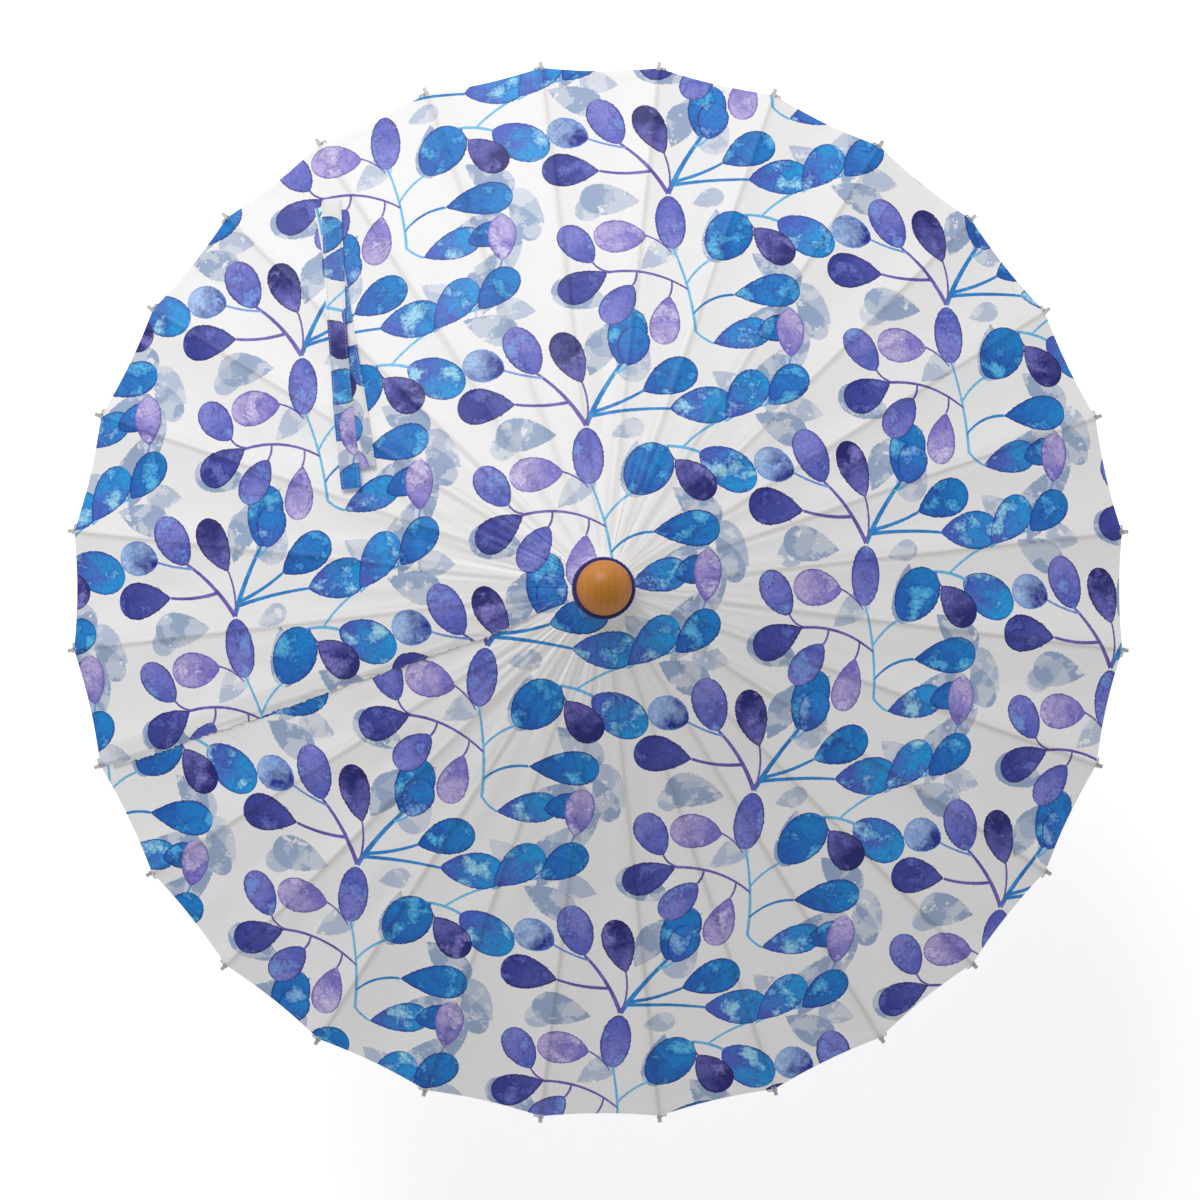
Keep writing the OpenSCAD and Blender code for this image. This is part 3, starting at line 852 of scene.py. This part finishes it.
def strap_tail(name, start, end, bow, width, lift, shift, k):
    """One tail of the closing strap, laid on the cloth."""
    start, end = np.array(start, float), np.array(end, float)
    way = end - start
    length = np.linalg.norm(way)
    way /= length
    side = np.array([-way[1], way[0]])
    n, cols = 90, np.array([-1, -0.93, -0.86, -0.5, 0, 0.5, 0.86, 0.93, 1])
    t = np.linspace(0, 1, n)
    mid = start + t[:, None] * way * length + (bow * np.sin(np.pi * t))[:, None] * side
    twist = 1 + 0.04 * np.sin(9 * t)
    plan = mid[:, None] + cols[None, :, None] * side * width / 2 * twist[:, None, None]
    up = lift(t)[:, None] + 0.22 * (np.abs(cols) > 0.85)[None, :] + 0.5 * np.sin(
        11 * t + 2)[:, None] * cols[None, :] * np.clip(t * 3, 0, 1)[:, None]
    up = np.maximum(up, 0.35)
    grid = on_cloth(plan, up)
    u = (cols[None, :] * width / 2 + shift[0]) * MM + t[:, None] * 0
    v = -t[:, None] * length * MM + shift[1] * MM + cols[None, :] * 0
    places = np.stack([u, v], -1).reshape(-1, 2)
    obj = grid_piece(name, grid, places)
    # stitches along both edges
    lines = []
    for edge in (-0.8, 0.8):
        for s in np.arange(0.01, 0.985, 2.6 / length):
            a0, a1 = (np.array([np.interp(q, t, mid[:, c]) for c in (0, 1)]) + side * edge * width / 2
                      for q in (s, s + 1.5 / length))
            both = []
            for q, p in ((s, a0), (s + 0.75 / length, (a0 + a1) / 2), (s + 1.5 / length, a1)):
                z = np.interp(q, t, grid[:, 2 if edge < 0 else -3, 2])
                both.append((*(p * MM), z + 0.00022))
            lines.append(both)
    stitches = tubes(name + "_stitches", lines, [0.00016] * len(lines), THREAD, 4)
    for o in (obj, stitches):
        fold_with(o, k)


strap_tail("strap_tail_1", (-213, 295), (-176, 91), 1.5, 14,
           lambda t: 1.0 + 2.4 * t ** 3 + 0.6 * np.sin(7 * t) ** 2, (12, 34), 10)
strap_tail("strap_tail_2", (-207, 301), (-187, 75), -2, 15,
           lambda t: 2.1 + 1.5 * np.sin(np.pi * t) ** 2 + 2.2 * t ** 4, (-3, 6), 10)


def gathered_collar():
    """The gathered cloth that is tied in the crown's neck."""
    turns, tube = 336, 14
    theta = np.linspace(0, 2 * np.pi, turns, endpoint=False)
    phi = np.linspace(0, 2 * np.pi, tube, endpoint=False)
    pleat = 0.25 * np.sin(theta * 46 + 2 * np.sin(theta * 3)) + 0.16 * np.sin(theta * 83 + 1)
    # the collar is fatter on the lower left; that dark swelling is partly gathered cloth and partly
    # painted shade beside the crown
    thickness_with_shade = 2.15 + 0.95 * np.maximum(0, np.cos(theta - math.radians(215))) + pleat * 0.6
    big = 20.4 + 0.25 * np.cos(theta * 2 + 1)
    ring_r = big[:, None] + thickness_with_shade[:, None] * np.cos(phi)[None, :]
    ring_z = HINGE_Z + 8.75 + 1.12 * np.sin(phi)[None, :] * (1 + 0.2 * pleat[:, None])
    collar_grid = np.stack([ring_r * np.cos(theta)[:, None], ring_r * np.sin(theta)[:, None],
                            ring_z * np.ones_like(ring_r)], -1) * MM
    mesh = bpy.data.meshes.new("collar")
    faces = [(i * tube + j, (i + 1) % turns * tube + j, (i + 1) % turns * tube + (j + 1) % tube,
              i * tube + (j + 1) % tube) for i in range(turns) for j in range(tube)]
    mesh.from_pydata(collar_grid.reshape(-1, 3).tolist(), [], faces)
    collar = placed(mesh, COLLAR)
    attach(collar, "stick")


gathered_collar()


def rib_base(k):
    """The frame of rib k: X along the rib from its hinge, Z up from it."""
    return Matrix.Rotation(rib_angle(k), 4, "Z") @ Matrix.Translation((RING_R * MM, 0, HINGE_Z * MM)) \
        @ Matrix.Rotation(DROOP, 4, "Y")


def rim_tie(k):
    """Thread that ties the cloth's edge to the end of rib k, and its knot beside the rib."""
    pick = random.Random(400 + k)
    base = rib_base(k)
    lines = []
    for turn in range(3):
        along = RIB_L - 7.4 + turn * 0.62 + pick.uniform(-0.1, 0.1)
        lean = pick.uniform(-0.5, 0.5)
        loop = []
        for q in np.linspace(0, 2 * np.pi, 17):
            cy, cz = math.cos(q), math.sin(q)
            grow = 1 / max(abs(cy), abs(cz)) ** 0.75  # swells the round loop into a square one
            loop.append((along + lean * cz, 1.78 * cy * grow, 2.5 + 1.8 * cz * grow))
        lines.append(loop)
    x0, z0 = RIB_L - 3.5, 2.4  # the thread hole near the rib's tip
    lines.append([(x0 - 2.6, 1.2, 4.5), (x0 - 1.2, 2.0, 3.6), (x0, 1.9, z0), (x0 + 0.2, 0, z0),
                  (x0, -1.9, z0), (x0 - 1.3, -2.0, 3.7), (x0 - 2.6, -0.9, 4.6)])
    side = pick.choice([-1, 1])
    end = [(x0 - 3.3, 1.0, 4.9), (x0 - 2.5, 2.4, 4.6), (x0 - 2.1, 3.8, 4.3), (x0 - 2.4, 5.0, 4.2),
           (x0 - 3.3, 5.4, 4.5)]
    end = [(x, side * y, z) for x, y, z in end]
    lines, (end,) = ([[tuple(base @ (Vector(p) * MM)) for p in line] for line in many]
                     for many in (lines, [end]))
    tie = tubes(f"rim_tie_{k + 1:02d}", lines, [0.00034] * len(lines), THREAD, 6)
    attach(tie, rib_body(k))
    knot = tubes(f"rim_knot_{k + 1:02d}", [end], [0.00075], THREAD, 6)
    fold_with(knot, k)


for k in range(RIBS):
    rim_tie(k)


def spring_catch():
    """A bent wire that stands out of a slot in the stick, under the runner."""
    top = 366.6
    wire = [(5.0, 336.0), (6.6, 338.5), (7.6, 346.0), (8.9, 357.0), (9.9, 364.4), (9.6, top - 0.6),
            (8.6, top), (7.0, top), (5.0, top - 0.2)]
    legs = [[(x * MM, y * MM, z * MM) for x, z in wire] for y in (-0.62, 0.62)]
    catch = tubes("spring_catch", legs, [0.00055] * 2, STEEL, 10)
    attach(catch, "stick")
    # dark lines along the slot's edges: painted shade inside the slot
    edges = [[(5.72 * MM, y * MM, z * MM) for z in (333.0, 350.0, 368.5)] for y in (-0.5, 0.5)]
    slot = tubes("catch_slot_shade", edges, [0.0006] * 2, SLOT_SHADE, 8)
    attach(slot, "stick")


spring_catch()

# the CAD parts that show: bamboo frame, stick, crown and runner
for name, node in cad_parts.items():
    if name == "canopy":
        continue
    mat = BAMBOO if name[:3] in ("rib", "str") else (STICK if name == "shaft" else WOOD)
    node.data.materials.clear()
    node.data.materials.append(mat)


# ---------------------------------------------------------------- floor and light
def area_light(name, place, target, size, power):
    lamp = bpy.data.lights.new(name, "AREA")
    lamp.shape, lamp.size, lamp.energy = "DISK", size, power
    obj = bpy.data.objects.new(name, lamp)
    scene.collection.objects.link(obj)
    look(obj, place, target, (0, 0.2, 1))


def plain_floor():
    mesh = bpy.data.meshes.new("floor")
    half, z = 14.0, -0.002
    mesh.from_pydata([(-half, -half, z), (half, -half, z), (half, half, z), (-half, half, z)], [],
                     [(0, 1, 2, 3)])
    obj = bpy.data.objects.new("floor", mesh)
    scene.collection.objects.link(obj)
    m, _, shader = material("floor", 0.9)
    shader.inputs["Base Color"].default_value = (0.9, 0.9, 0.9, 1)
    shader.inputs["Specular IOR Level"].default_value = 0.1
    shader.inputs["Emission Color"].default_value = (1, 1, 1, 1)
    shader.inputs["Emission Strength"].default_value = 0.53
    mesh.materials.append(m)


plain_floor()
world = bpy.data.worlds.new("studio")
scene.world = world
world.use_nodes = True
sky = Graph(world.node_tree)
background = world.node_tree.nodes["Background"]
background.inputs["Color"].default_value = (1, 1, 1, 1)
height = world.node_tree.nodes.new("ShaderNodeSeparateXYZ")
sky.put(height.inputs[0], sky.add("ShaderNodeTexCoord", out=0))
# a white horizon under a dimmer studio ceiling
sky.put(background.inputs["Strength"], sky.ramp(height.outputs[2], 0.23, 0.34, 1.0, 0.35))
area_light("key", (-0.93, 2.5, 2.64), (0, 0, 0.4), 1.9, 76)
